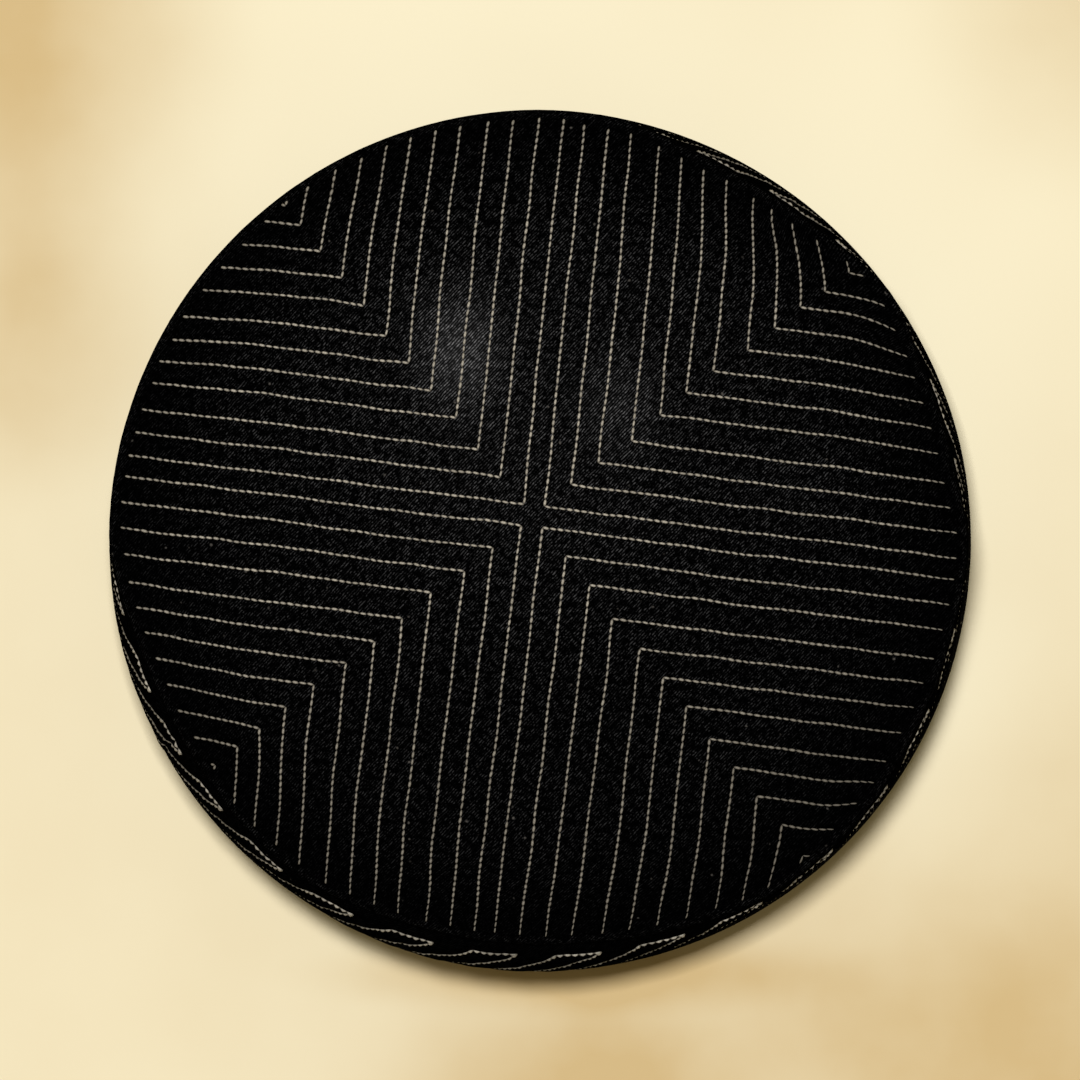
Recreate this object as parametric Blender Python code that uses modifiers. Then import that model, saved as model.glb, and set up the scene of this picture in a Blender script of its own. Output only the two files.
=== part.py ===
"""Round quilted prayer cap: a shallow domed crown sewn to an upright side band.

Units are metres and +Z is up. The origin is the middle of the head opening, on the surface
that the rim stands on. Azimuths are in degrees, counter-clockwise from +X seen from above.
"""

import math
from collections import namedtuple

import bpy

COLLECTION_NAME = "prayer_cap"

# Side band: outer sizes of the padded strip that makes the wall
RIM_RADIUS = 0.0933
SHOULDER_RADIUS = 0.0886
SHOULDER_HEIGHT = 0.0712
BAND_THICKNESS = 0.0028

# Seam between band and crown
SEAM_RADIUS = 0.0883
SEAM_HEIGHT = 0.0762
SEAM_TUCK = 0.0007
SEAM_GAP = 0.0003

# Crown: the top panel, flat in the middle, with an edge that rolls down to the seam
CROWN_THICKNESS = 0.0025
CROWN_HEIGHT = 0.0825
DOME_RISE = 0.0019
ROLL_WIDTH = 0.0044
ROLL_STRAIGHT = 0.0008

# Rounding of the folded cloth edges
FOLD_ROUNDING = 0.0009

# Dents of the soft cap, deepest at the seam. On the band a dent starts at its foot height and
# deepens with its steepness: 1 leans the wall in evenly, 0 dents it alike from rim to seam.
Dent = namedtuple("Dent", "azimuth half_width depth foot steepness")
DENTS = (
    Dent(azimuth=17.0, half_width=18.0, depth=0.0021, foot=0.057, steepness=1.75),
    Dent(azimuth=57.0, half_width=23.0, depth=0.0026, foot=0.057, steepness=1.75),
    Dent(azimuth=210.0, half_width=30.0, depth=0.0037, foot=0.057, steepness=1.75),
    Dent(azimuth=263.0, half_width=41.0, depth=0.0039, foot=0.057, steepness=1.75),
    Dent(azimuth=338.0, half_width=20.0, depth=0.0009, foot=0.057, steepness=1.75),
    Dent(azimuth=105.0, half_width=80.0, depth=0.0011, foot=0.0, steepness=1.0),
    Dent(azimuth=52.0, half_width=40.0, depth=0.0005, foot=0.0, steepness=0.0),
)
CROWN_DENT_START = 0.72

# Bulges of the band's wall, where the dents press it out
Bulge = namedtuple("Bulge", "azimuth half_width depth")
BULGES = (
    Bulge(azimuth=210.0, half_width=30.0, depth=0.0006),
    Bulge(azimuth=263.0, half_width=42.0, depth=0.0015),
    Bulge(azimuth=315.0, half_width=34.0, depth=0.0008),
)
BULGE_FOOT_HEIGHT = 0.030
BULGE_FULL_HEIGHT = 0.063
BULGE_FADE = 0.007
FOLD_FLATNESS = 3

# Where a point of a turned mesh lies, before it is moved
Place = namedtuple("Place", "azimuth radius height")

# Mesh density
SEGMENTS = 96
WALL_ROWS = 7
WALL_CROWDING = 1.5
SHOULDER_ROWS = 3
DOME_ROWS = 4
ROLL_ROWS = 4
FOLD_SEGMENTS = 2
MERGE_DISTANCE = 0.00001
SHARP_ANGLE = math.radians(50.0)

CLOTH_COLOUR = (0.011, 0.011, 0.012, 1.0)
CLOTH_ROUGHNESS = 0.85


def clear_scene():
    """Remove every object that the opened file holds."""
    for item in list(bpy.data.objects):
        bpy.data.objects.remove(item, do_unlink=True)


def make_collection(name):
    """Make the collection that holds the cap's pieces."""
    collection = bpy.data.collections.new(name)
    bpy.context.scene.collection.children.link(collection)
    return collection


def make_material(name, colour, roughness):
    """Make a plain material in the cloth's colour."""
    material = bpy.data.materials.new(name)
    material.use_nodes = True
    shader = material.node_tree.nodes["Principled BSDF"]
    shader.inputs["Base Color"].default_value = colour
    shader.inputs["Roughness"].default_value = roughness
    shader.inputs["Metallic"].default_value = 0.0
    return material


def smooth_step(value):
    """Ease from 0 to 1 as value goes from 0 to 1."""
    value = min(max(value, 0.0), 1.0)
    return value * value * (3.0 - 2.0 * value)


def fold_depth(fold, azimuth):
    """Say how deep a dent or bulge reaches at one azimuth."""
    turn_away = abs((azimuth - fold.azimuth + 180.0) % 360.0 - 180.0)
    away = min(turn_away / fold.half_width, 1.0)
    return fold.depth * (1.0 - away**FOLD_FLATNESS) ** 2


def wall_share(dent, height):
    """Say what part of a dent's depth reaches the band at one height."""
    return (max(height - dent.foot, 0.0) / (SEAM_HEIGHT - dent.foot)) ** dent.steepness


def crown_profile():
    """Give the crown's section from the axis, out over the top, and back along the inside."""
    roll_start = SEAM_RADIUS - ROLL_WIDTH
    edge_top = CROWN_HEIGHT - DOME_RISE
    rim_height = SEAM_HEIGHT + SEAM_GAP
    roll_foot = rim_height + ROLL_STRAIGHT
    outer = []
    inner = []
    for row in range(DOME_ROWS):
        radius = roll_start * row / DOME_ROWS
        height = edge_top + DOME_RISE * (1.0 - (radius / roll_start) ** 2)
        outer.append((radius, height))
        inner.append((radius, height - CROWN_THICKNESS))
    for row in range(ROLL_ROWS + 1):
        angle = 0.5 * math.pi * row / ROLL_ROWS
        across = math.sin(angle)
        up = math.cos(angle)
        outer.append((roll_start + ROLL_WIDTH * across, roll_foot + (edge_top - roll_foot) * up))
        inner.append((
            roll_start + (ROLL_WIDTH - CROWN_THICKNESS) * across,
            roll_foot + (edge_top - roll_foot - CROWN_THICKNESS) * up,
        ))
    outer.append((SEAM_RADIUS, rim_height))
    inner.append((SEAM_RADIUS - CROWN_THICKNESS, rim_height))
    return outer + inner[::-1]


def wall_radius(height):
    """Give the band's outer radius, which leans in from the rim to the shoulder."""
    return RIM_RADIUS - (RIM_RADIUS - SHOULDER_RADIUS) * height / SHOULDER_HEIGHT


def band_profile():
    """Give the band's closed section, down its outside and back up its inside."""
    top_radius = SEAM_RADIUS - SEAM_TUCK
    outer = []
    for row in range(SHOULDER_ROWS):
        angle = 0.5 * math.pi * row / SHOULDER_ROWS
        outer.append((
            top_radius + (SHOULDER_RADIUS - top_radius) * math.sin(angle),
            SHOULDER_HEIGHT + (SEAM_HEIGHT - SHOULDER_HEIGHT) * math.cos(angle),
        ))
    for row in range(WALL_ROWS + 1):
        height = SHOULDER_HEIGHT * (1.0 - (row / WALL_ROWS) ** WALL_CROWDING)
        outer.append((wall_radius(height), height))
    inner = [(radius - BAND_THICKNESS, height) for radius, height in outer]
    return outer + inner[::-1]


def turn_profile(name, profile, closed, collection):
    """Turn a section about the Z axis and keep the result as a plain mesh."""
    count = len(profile)
    edges = [(index, index + 1) for index in range(count - 1)]
    if closed:
        edges.append((count - 1, 0))
    section = bpy.data.meshes.new(name + "_section")
    section.from_pydata([(radius, 0.0, height) for radius, height in profile], edges, [])
    guide = bpy.data.objects.new(name + "_guide", section)
    collection.objects.link(guide)
    screw = guide.modifiers.new("Turn", "SCREW")
    screw.axis = "Z"
    screw.angle = 2.0 * math.pi
    screw.steps = SEGMENTS
    screw.render_steps = SEGMENTS
    screw.use_merge_vertices = True
    screw.merge_threshold = MERGE_DISTANCE
    turned = guide.evaluated_get(bpy.context.evaluated_depsgraph_get())
    mesh = bpy.data.meshes.new_from_object(turned)
    mesh.name = name
    bpy.data.objects.remove(guide, do_unlink=True)
    return mesh


def move_out(mesh, outward):
    """Move each vertex out from the axis by what outward(place) says."""
    for vertex in mesh.vertices:
        x, y, height = vertex.co
        radius = math.hypot(x, y)
        if radius > MERGE_DISTANCE:
            place = Place(math.degrees(math.atan2(y, x)), radius, height)
            scale = 1.0 + outward(place) / radius
            vertex.co = (x * scale, y * scale, height)


def crown_outward(place):
    """Draw the crown's outer part in where its edge is dented."""
    share = (place.radius / SEAM_RADIUS - CROWN_DENT_START) / (1.0 - CROWN_DENT_START)
    return -smooth_step(share) * sum(fold_depth(dent, place.azimuth) for dent in DENTS)


def band_outward(place):
    """Dent the band with the crown's edge and bulge its wall below the dents."""
    azimuth, height = place.azimuth, place.height
    rise = (height - BULGE_FOOT_HEIGHT) / (BULGE_FULL_HEIGHT - BULGE_FOOT_HEIGHT)
    fall = (SEAM_HEIGHT - height) / BULGE_FADE
    bulge = sum(fold_depth(bulge, azimuth) for bulge in BULGES)
    dent = sum(fold_depth(dent, azimuth) * wall_share(dent, height) for dent in DENTS)
    return bulge * smooth_step(rise) * smooth_step(fall) - dent


def finish_piece(name, mesh, material, collection):
    """Link a piece, round its folded edges and shade it smooth."""
    mesh.materials.append(material)
    mesh.shade_smooth()
    mesh.set_sharp_from_angle(angle=SHARP_ANGLE)
    piece = bpy.data.objects.new(name, mesh)
    collection.objects.link(piece)
    bevel = piece.modifiers.new("Folded edges", "BEVEL")
    bevel.width = FOLD_ROUNDING
    bevel.segments = FOLD_SEGMENTS
    bevel.limit_method = "ANGLE"
    bevel.angle_limit = SHARP_ANGLE
    return piece


def make_crown(collection):
    """Make the top panel with its rolled edge."""
    mesh = turn_profile("crown", crown_profile(), False, collection)
    move_out(mesh, crown_outward)
    material = make_material("crown_cloth", CLOTH_COLOUR, CLOTH_ROUGHNESS)
    return finish_piece("crown", mesh, material, collection)


def make_side_band(collection):
    """Make the padded wall, open below for the head."""
    mesh = turn_profile("side_band", band_profile(), True, collection)
    move_out(mesh, band_outward)
    material = make_material("band_cloth", CLOTH_COLOUR, CLOTH_ROUGHNESS)
    return finish_piece("side_band", mesh, material, collection)


def main():
    clear_scene()
    collection = make_collection(COLLECTION_NAME)
    make_crown(collection)
    make_side_band(collection)


main()
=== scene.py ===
"""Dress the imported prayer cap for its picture, and set it on a plain floor in soft light.

The cap is two quilted cloths, the crown and the side band, each sewn through with cream thread.
Units are metres and +Z is up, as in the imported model. Azimuths are in degrees, counter-clockwise
from +X seen from above. A flat point is a place on a cloth before the cap is made up: on the crown
it is measured from the middle of the panel, and on the band along the strip and down from the seam.
"""

import math
from collections import namedtuple

import bpy
import numpy as np
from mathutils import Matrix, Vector, geometry, kdtree


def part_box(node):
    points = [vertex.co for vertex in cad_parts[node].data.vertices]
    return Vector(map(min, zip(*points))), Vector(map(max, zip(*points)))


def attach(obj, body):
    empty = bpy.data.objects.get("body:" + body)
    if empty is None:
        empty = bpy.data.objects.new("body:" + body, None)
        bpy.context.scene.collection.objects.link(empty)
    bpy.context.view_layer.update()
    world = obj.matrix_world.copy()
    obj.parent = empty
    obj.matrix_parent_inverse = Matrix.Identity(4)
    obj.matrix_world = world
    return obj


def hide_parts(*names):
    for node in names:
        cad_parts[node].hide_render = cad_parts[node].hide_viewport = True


bl_info = {
    "name": "Quilted prayer cap",
    "version": (1, 0, 0),
    "blender": (4, 5, 0),
    "location": "3D View > Sidebar > Prayer cap",
    "description": "Builds the quilted cloths, the stitching and the stage of a prayer cap",
    "category": "Object",
}

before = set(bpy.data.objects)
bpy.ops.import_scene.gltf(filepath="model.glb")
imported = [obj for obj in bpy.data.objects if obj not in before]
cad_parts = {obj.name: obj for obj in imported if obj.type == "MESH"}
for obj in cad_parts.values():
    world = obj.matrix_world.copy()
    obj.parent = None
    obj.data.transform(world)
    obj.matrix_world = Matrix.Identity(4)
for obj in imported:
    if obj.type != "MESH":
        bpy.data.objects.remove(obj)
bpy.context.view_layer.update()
CROWN_LOW, CROWN_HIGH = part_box("crown")
FULL_TURN = 2.0 * math.pi

# Side band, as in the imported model
RIM_RADIUS = 0.0933
SHOULDER_RADIUS = 0.0886
SHOULDER_HEIGHT = 0.0712
BAND_THICKNESS = 0.0028

# Seam between band and crown
SEAM_RADIUS = 0.0883
SEAM_TUCK = 0.0007
SEAM_GAP = 0.0003
SEAM_HEIGHT = CROWN_LOW.z - SEAM_GAP

# How far round its shoulder the band's inside runs before it folds to the seam, in degrees
INNER_SHOULDER_TURN = 50.0

# Crown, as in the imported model
CROWN_THICKNESS = 0.0025
CROWN_HEIGHT = CROWN_HIGH.z
DOME_RISE = 0.0019
ROLL_WIDTH = 0.0044
ROLL_STRAIGHT = 0.0008
FOLD_ROUNDING = 0.0009

# Dents and bulges of the soft cap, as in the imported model
Dent = namedtuple("Dent", "azimuth half_width depth foot steepness")
DENTS = (
    Dent(azimuth=17.0, half_width=18.0, depth=0.0021, foot=0.057, steepness=1.75),
    Dent(azimuth=57.0, half_width=23.0, depth=0.0026, foot=0.057, steepness=1.75),
    Dent(azimuth=210.0, half_width=30.0, depth=0.0037, foot=0.057, steepness=1.75),
    Dent(azimuth=263.0, half_width=41.0, depth=0.0039, foot=0.057, steepness=1.75),
    Dent(azimuth=338.0, half_width=20.0, depth=0.0009, foot=0.057, steepness=1.75),
    Dent(azimuth=105.0, half_width=80.0, depth=0.0011, foot=0.0, steepness=1.0),
    Dent(azimuth=52.0, half_width=40.0, depth=0.0005, foot=0.0, steepness=0.0),
)
CROWN_DENT_START = 0.72
Bulge = namedtuple("Bulge", "azimuth half_width depth")
BULGES = (
    Bulge(azimuth=210.0, half_width=30.0, depth=0.0006),
    Bulge(azimuth=263.0, half_width=42.0, depth=0.0015),
    Bulge(azimuth=315.0, half_width=34.0, depth=0.0008),
)
BULGE_FOOT_HEIGHT = 0.030
BULGE_FULL_HEIGHT = 0.063
BULGE_FADE = 0.007
FOLD_FLATNESS = 3

# Where the crown's cloth is pushed round its edge, away from an azimuth, by the dents beside it.
# A shift below 0 draws it towards the azimuth.
Drag = namedtuple("Drag", "azimuth half_width shift start")
DRAGS = (
    Drag(azimuth=40.0, half_width=19.0, shift=0.0026, start=0.87),
    Drag(azimuth=134.0, half_width=32.0, shift=0.0010, start=0.80),
    Drag(azimuth=312.0, half_width=32.0, shift=-0.0005, start=0.55),
    Drag(azimuth=312.0, half_width=16.0, shift=0.0018, start=0.89),
)

# Brings the greatest push, part of the way out from a drag's azimuth, to about its shift
DRAG_PEAK = 3.5

# Rows of quilting on the crown: their spacing, and after which rows it is wider or closer
Rows = namedtuple("Rows", "spacing widening wide_after closer", defaults=(0.0,))
CLOSER_AFTER = 9

# The four quarters of nested right angles: which side of the middle they lie on, their rows, how
# much longer their arms are than the rest, and where the last, short right angle ends
Quarter = namedtuple("Quarter", "side rise upright level longer longer_level last_reach last_arm")
QUARTERS = (
    Quarter(side=-1, rise=1, upright=Rows(0.00514, 0.00069, wide_after=(3,)),
            level=Rows(0.00498, 0.00090, wide_after=(2, 6)),
            longer=0.0009, longer_level=0.0008, last_reach=0.0862, last_arm=0.0011),
    Quarter(side=1, rise=1, upright=Rows(0.00510, 0.00116, wide_after=(2, 6)),
            level=Rows(0.00513, 0.00114, wide_after=(3,), closer=0.0010),
            longer=0.0, longer_level=0.0, last_reach=0.0848, last_arm=0.0027),
    Quarter(side=1, rise=-1, upright=Rows(0.00547, 0.00095, wide_after=(3,)),
            level=Rows(0.00526, 0.00091, wide_after=(2, 6)),
            longer=0.0008, longer_level=0.0, last_reach=0.0860, last_arm=0.0017),
    Quarter(side=-1, rise=-1, upright=Rows(0.00523, 0.00089, wide_after=(2, 6)),
            level=Rows(0.00529, 0.00066, wide_after=(3,)),
            longer=0.0008, longer_level=0.0, last_reach=0.0868, last_arm=0.0011),
)
ROW_COUNT = 12

# The pattern's middle, and how far its rows lean in degrees, the upright ones by their rise
PATTERN_CENTRE = np.array([-0.00114, 0.00353])
LEVEL_LEAN = 7.1
UPRIGHT_LEAN = {1: 5.9, -1: 6.7}

# After which row the level arms of a quarter grow longer, over how many rows they do, and how far
# a row may end short of its place or past it
LATE_ROW = 7
LATE_SPAN = 3.0
ROW_END_STRAY = (-0.0004, 0.0003)

# How far hand-guided rows stray from their lines, and over what lengths
WANDER = 0.00013
WANDER_LENGTHS = (0.060, 0.009)

# Runs of quilting on the band: how far round, clockwise from +X, a numbered run starts
Run = namedtuple("Run", "number start")
RUN_MARKS = (Run(0, 157.7), Run(11, 280.9), Run(30, 498.8), Run(32, 517.7))
RUN_COUNT = 32
RUN_SHARE = 0.53
JOIN_AZIMUTH = 209.5

# How grey the crown's weave is: evenly grey with wear, plus painted highlights in soft patches: flat
# place, reach sideways and up, and how strongly
Patch = namedtuple("Patch", "x y wide tall strength")
RUBBED_EVENLY = 0.20
PAINTED_HIGHLIGHT_PATCHES = (
    Patch(x=-0.004, y=0.034, wide=0.075, tall=0.060, strength=0.12),
    Patch(x=0.0, y=0.004, wide=0.060, tall=0.045, strength=0.10),
    Patch(x=-0.0163, y=0.0376, wide=0.015, tall=0.021, strength=0.70),
    Patch(x=0.017, y=0.0266, wide=0.013, tall=0.017, strength=0.36),
    Patch(x=0.055, y=0.010, wide=0.022, tall=0.014, strength=0.10),
)
# Painted shade: fewer grey flecks towards the bottom, and at the rolled edge
PAINTED_SHADE_BELOW = 0.45
PAINTED_SHADE_BELOW_WIDTH = 0.16
PAINTED_SHADE_EDGE_SHARE = 0.14
PAINTED_SHADE_EDGE = 0.0885
PAINTED_SHADE_EDGE_FADE = 0.034
# Painted highlight: a thin grey line along the ridge at the seam
RIDGE_RADIUS = 0.0880
RIDGE_WIDTH = 0.0010
RIDGE_HIGHLIGHT = 0.10

# How grey the band's weave is: painted shade keeps it nearly black beside the seam, and grey flecks
# of wear grow from a distance below the seam on, unevenly
BAND_PAINTED_SHADE_AT_SEAM = 0.02
BAND_RUBBED_MORE = 0.17
BAND_RUBBED_START = 0.010
BAND_RUBBED_FADE = 0.025
BAND_RUBBED_SWING = 0.25
BAND_RUBBED_LENGTHS = (0.05, 0.012)
BAND_RUBBED_SEED = 51

# Painted shade on the crown's thread: towards which side it darkens, from how far out, over what
# width, and how strongly
ThreadShade = namedtuple("ThreadShade", "right up start width strength")
THREAD_PAINTED_SHADE = (
    ThreadShade(right=1.0, up=0.0, start=0.0, width=0.08, strength=0.29),
    ThreadShade(right=0.0, up=-1.0, start=0.0, width=0.06, strength=0.55),
    ThreadShade(right=0.0, up=1.0, start=0.02, width=0.06, strength=0.08),
)

# Mesh density of the crown: shares of the way from row to row, steps along a row, and how far a
# side's pattern of faces stays within the ring that ends it
SideMesh = namedtuple("SideMesh", "shares step reach margin")
CROWN_TOP = SideMesh((0.0, 0.09, 0.20, 0.34, 0.50, 0.66, 0.80, 0.91), 0.00078, 0.0866, 0.0004)
CROWN_UNDER = SideMesh((0.0, 0.25, 0.5, 0.75), 0.0015, 0.0825, 0.0008)
ROWS_PAST_LAST = 2
RING_POINTS = 720
EDGE_STEP = 0.0006
SECTION_POINTS = 60

# How far past the middle of the crown's section its edge starts to count as inside
INSIDE_START = 0.002

# The crown's mesh is joined in millimetres, and only inside the ring round it
JOIN_SCALE = 1000.0
JOIN_TOLERANCE = 1e-6
JOIN_INSIDE = 1

# Mesh density of the band: rings above, between and below its rows and inside it, and shares of
# the way from one end of a run to the next
BandRings = namedtuple("BandRings", "above between below inside")
BAND_RINGS = BandRings(above=7, between=84, below=12, inside=46)
BAND_SHARES = (0.0, 0.06, 0.14, 0.25, 0.37, 0.50, 0.63, 0.75, 0.86, 0.94)

# Relief of the band's inside, and where it fades to nothing: at the inner seam and at the foot
INSIDE_RELIEF = 0.7
SEAM_FADE = 0.004
FOOT_FADE = 0.003

# How far past the strip's ends its rows are repeated
STRIP_MARGIN = 0.02

# Places in the map for baking: two discs for the crown, blocks of columns for the band, and a
# cell for each stitch
BakeDisc = namedtuple("BakeDisc", "middle size")
TOP_BAKE = BakeDisc(middle=0.335, size=0.33)
UNDER_BAKE = BakeDisc(middle=0.84, size=0.155)
BAKE_REACH = 0.094
BAKE_BLOCKS = 8
BLOCK_MARGIN_ACROSS = 0.01
BLOCK_MARGIN_UP = 0.02
CELL_MARGIN = 0.08

# How many waves, from the longest to the shortest, make up an uneven value
WAVE_COUNT = 9

# One stitch: where its rings lie, as a share of its length, its thickness and its rise
StitchRing = namedtuple("StitchRing", "along width rise")
FULL_STITCH = (
    StitchRing(-0.08, 0.0, -0.50), StitchRing(0.03, 0.42, -0.22), StitchRing(0.24, 0.92, 0.34),
    StitchRing(0.50, 1.06, 0.52), StitchRing(0.76, 0.92, 0.34), StitchRing(0.97, 0.42, -0.22),
    StitchRing(1.08, 0.0, -0.50),
)
PLAIN_STITCH = (
    StitchRing(-0.08, 0.0, -0.50), StitchRing(0.09, 0.62, -0.04), StitchRing(0.50, 1.06, 0.50),
    StitchRing(0.91, 0.62, -0.04), StitchRing(1.08, 0.0, -0.50),
)
STITCH_SIDES = 6
STITCH_FLATNESS = 0.85
STITCH_SIZES = (0.84, 1.12)
STITCH_TONES = (0.55, 1.0)
STITCH_LEAN = math.radians(5.0)
LEAN_STRAY = 0.4
HOLE_STRAY_ALONG = 0.05
HOLE_STRAY_ASIDE = 0.00002
HEM_PITCH = 0.0022

# How far above a stitch the point lies that gives its way up
UP_REACH = 0.0005

# Seeds of the needle holes' strays, and of the stitches' uneven sizes and tones
CROWN_HOLE_SEED = 31
CROWN_STITCH_SEED = 32
BAND_HOLE_SEED = 33
BAND_STITCH_SEED_A = 34
BAND_STITCH_SEED_B = 35
HEM_HOLE_SEED = 36
HEM_STITCH_SEED = 37

# Finishes
TWILL_TURN = math.radians(47.0)
CROWN_EVENNESS = 0.0
BAND_EVENNESS = 0.9
LINT_COLOUR = (0.12, 0.11, 0.10, 1.0)
LINT_AMOUNT = 0.5
LINT_BEND = 0.0006
PLY_LENGTH = 0.00055
TWILL_BUMP = 0.00008
THREAD_BUMP = 0.00006
FLOOR_BUMP = 0.0005

# How far apart nodes lie in the node editor
NODE_STEP = 180.0

# Where the floor is painted golden: painted shade towards the edges and corners of the view, and a
# painted shadow tint below the cap's lower edge
FLOOR_PAINTED_SHADE = (
    Patch(x=-0.115, y=0.115, wide=0.060, tall=0.060, strength=0.95),
    Patch(x=-0.112, y=0.050, wide=0.036, tall=0.050, strength=0.55),
    Patch(x=0.005, y=-0.128, wide=0.065, tall=0.036, strength=0.65),
    Patch(x=0.120, y=-0.125, wide=0.090, tall=0.070, strength=0.85),
    Patch(x=0.120, y=-0.060, wide=0.045, tall=0.050, strength=0.35),
    Patch(x=0.120, y=0.120, wide=0.050, tall=0.050, strength=0.50),
    Patch(x=0.045, y=-0.100, wide=0.130, tall=0.070, strength=0.60),
    Patch(x=-0.130, y=-0.060, wide=0.220, tall=0.240, strength=0.25),
    Patch(x=0.125, y=0.0, wide=0.050, tall=0.090, strength=0.22),
    Patch(x=0.010, y=-0.094, wide=0.075, tall=0.011, strength=0.55),
)

# How far the camera stands off the cap's axis, and the nearest and farthest that it sees
CAMERA_RIGHT = 0.0065
CAMERA_UP = -0.025
CAMERA_RANGE = (0.01, 20.0)

# The light overhead, what it faces, the tint of the room, and the floor's half width
KEY_PLACE = (-0.026, 0.066, 1.5)
KEY_SIZE = 0.10
LIGHT_TARGET = (0.0, 0.0, 0.05)
ROOM_COLOUR = (1.0, 0.86, 0.52, 1.0)
FLOOR_HALF = 4.0


class CapQuilting(bpy.types.PropertyGroup):
    """Sizes of the quilting that the user can change."""

    first_row: bpy.props.FloatProperty(
        name="First row", description="Distance of the first row from the cross in the middle",
        default=0.0022, min=0.001, max=0.01, unit="LENGTH", precision=5)
    groove_depth: bpy.props.FloatProperty(
        name="Groove depth", description="How far the stitches pull the padded cloth in",
        default=0.00038, min=0.0, max=0.001, unit="LENGTH", precision=5)
    row_reach: bpy.props.FloatProperty(
        name="Reach of the rows", description="How far from the axis the crown's rows end",
        default=0.08605, min=0.02, max=0.088, unit="LENGTH", precision=5)
    band_top_row: bpy.props.FloatProperty(
        name="Band's top row", description="Distance of the band's upper runs below the seam",
        default=0.0050, min=0.002, max=0.02, unit="LENGTH", precision=5)
    band_bottom_row: bpy.props.FloatProperty(
        name="Band's bottom row", description="Distance of the band's lower runs below the seam",
        default=0.0690, min=0.02, max=0.0745, unit="LENGTH", precision=5)
    band_slant: bpy.props.FloatProperty(
        name="Band's slant", description="How far a slanted row goes round for each step down",
        default=1.0, min=0.0, max=2.0)
    hem_row: bpy.props.FloatProperty(
        name="Hem row", description="Distance of the hem's stitching below the seam",
        default=0.0722, min=0.05, max=0.0755, unit="LENGTH", precision=5)
    seed: bpy.props.IntProperty(
        name="Seed", description="Picks the small irregularities of the hand-guided sewing",
        default=5, min=0)


class CapThread(bpy.types.PropertyGroup):
    """Sizes and colours of the thread that the user can change."""

    pitch: bpy.props.FloatProperty(
        name="Stitch pitch", description="Distance from one needle hole to the next",
        default=0.00150, min=0.0005, max=0.005, unit="LENGTH", precision=5)
    thickness: bpy.props.FloatProperty(
        name="Thickness", description="Width of a stitch",
        default=0.00052, min=0.0001, max=0.002, unit="LENGTH", precision=5)
    # Each stitch's tone mixes the light and dark thread colours; it holds painted shade as well as
    # random tone
    light: bpy.props.FloatVectorProperty(
        name="Light thread", description="Colour of the cleanest quilting stitches",
        default=(0.47, 0.43, 0.36), size=3, min=0.0, max=1.0, subtype="COLOR")
    dark: bpy.props.FloatVectorProperty(
        name="Dark thread", description="Colour of the most soiled quilting stitches",
        default=(0.085, 0.075, 0.06), size=3, min=0.0, max=1.0, subtype="COLOR")
    hem: bpy.props.FloatVectorProperty(
        name="Hem thread", description="Colour of the hem's black thread",
        default=(0.012, 0.012, 0.013), size=3, min=0.0, max=1.0, subtype="COLOR")


class CapCloth(bpy.types.PropertyGroup):
    """Weave and colours of the cloth that the user can change."""

    rib: bpy.props.FloatProperty(
        name="Twill rib", description="Distance from one rib of the twill to the next",
        default=0.00052, min=0.0002, max=0.003, unit="LENGTH", precision=5)
    ground: bpy.props.FloatVectorProperty(
        name="Ground", description="Colour of the cloth between its ribs",
        default=(0.0003, 0.0003, 0.00035), size=3, min=0.0, max=1.0, subtype="COLOR")
    fleck: bpy.props.FloatVectorProperty(
        name="Fleck", description="Colour of the rubbed yarns on the ribs",
        default=(0.165, 0.165, 0.174), size=3, min=0.0, max=1.0, subtype="COLOR")


class CapStage(bpy.types.PropertyGroup):
    """Camera, floor and light that the user can change."""

    camera_height: bpy.props.FloatProperty(
        name="Camera height", description="Height of the camera above the floor",
        default=1.5, min=0.3, max=10.0, unit="LENGTH")
    view_width: bpy.props.FloatProperty(
        name="View width", description="Width of floor that fills the picture",
        default=0.234, min=0.1, max=2.0, unit="LENGTH")
    key_power: bpy.props.FloatProperty(
        name="Key light", description="Power of the soft light overhead",
        default=20.0, min=0.0, unit="POWER")
    room_light: bpy.props.FloatProperty(
        name="Room light", description="Strength of the soft light from all round",
        default=0.2, min=0.0, max=5.0)
    floor_light: bpy.props.FloatVectorProperty(
        name="Pale floor", description="The floor's main colour",
        default=(0.925, 0.845, 0.62), size=3, min=0.0, max=1.0, subtype="COLOR")
    floor_dark: bpy.props.FloatVectorProperty(
        name="Golden floor", description="Colour of the floor's soft darker patches",
        default=(0.66, 0.49, 0.25), size=3, min=0.0, max=1.0, subtype="COLOR")


def smooth_step(value):
    """Ease from 0 to 1 as value goes from 0 to 1."""
    value = np.clip(value, 0.0, 1.0)
    return value * value * (3.0 - 2.0 * value)


def fold_depth(fold, azimuth):
    """Say how deep a dent or bulge reaches at each azimuth."""
    turn_away = np.abs((azimuth - fold.azimuth + 180.0) % 360.0 - 180.0)
    away = np.minimum(turn_away / fold.half_width, 1.0)
    return fold.depth * (1.0 - away**FOLD_FLATNESS) ** 2


def wall_share(dent, height):
    """Say what part of a dent's depth reaches the band at each height."""
    return (np.maximum(height - dent.foot, 0.0) / (SEAM_HEIGHT - dent.foot)) ** dent.steepness


def waves(flat, longest, shortest, seed):
    """Give a smooth uneven value, about -1 to 1, at each flat point."""
    random = np.random.default_rng(seed)
    total = np.zeros(len(flat))
    for length in np.geomspace(longest, shortest, WAVE_COUNT):
        heading = random.uniform(0.0, FULL_TURN)
        phase = random.uniform(0.0, FULL_TURN)
        along = flat[:, 0] * math.cos(heading) + flat[:, 1] * math.sin(heading)
        total += np.sin(FULL_TURN * along / length + phase)
    return total / math.sqrt(WAVE_COUNT)


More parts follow.
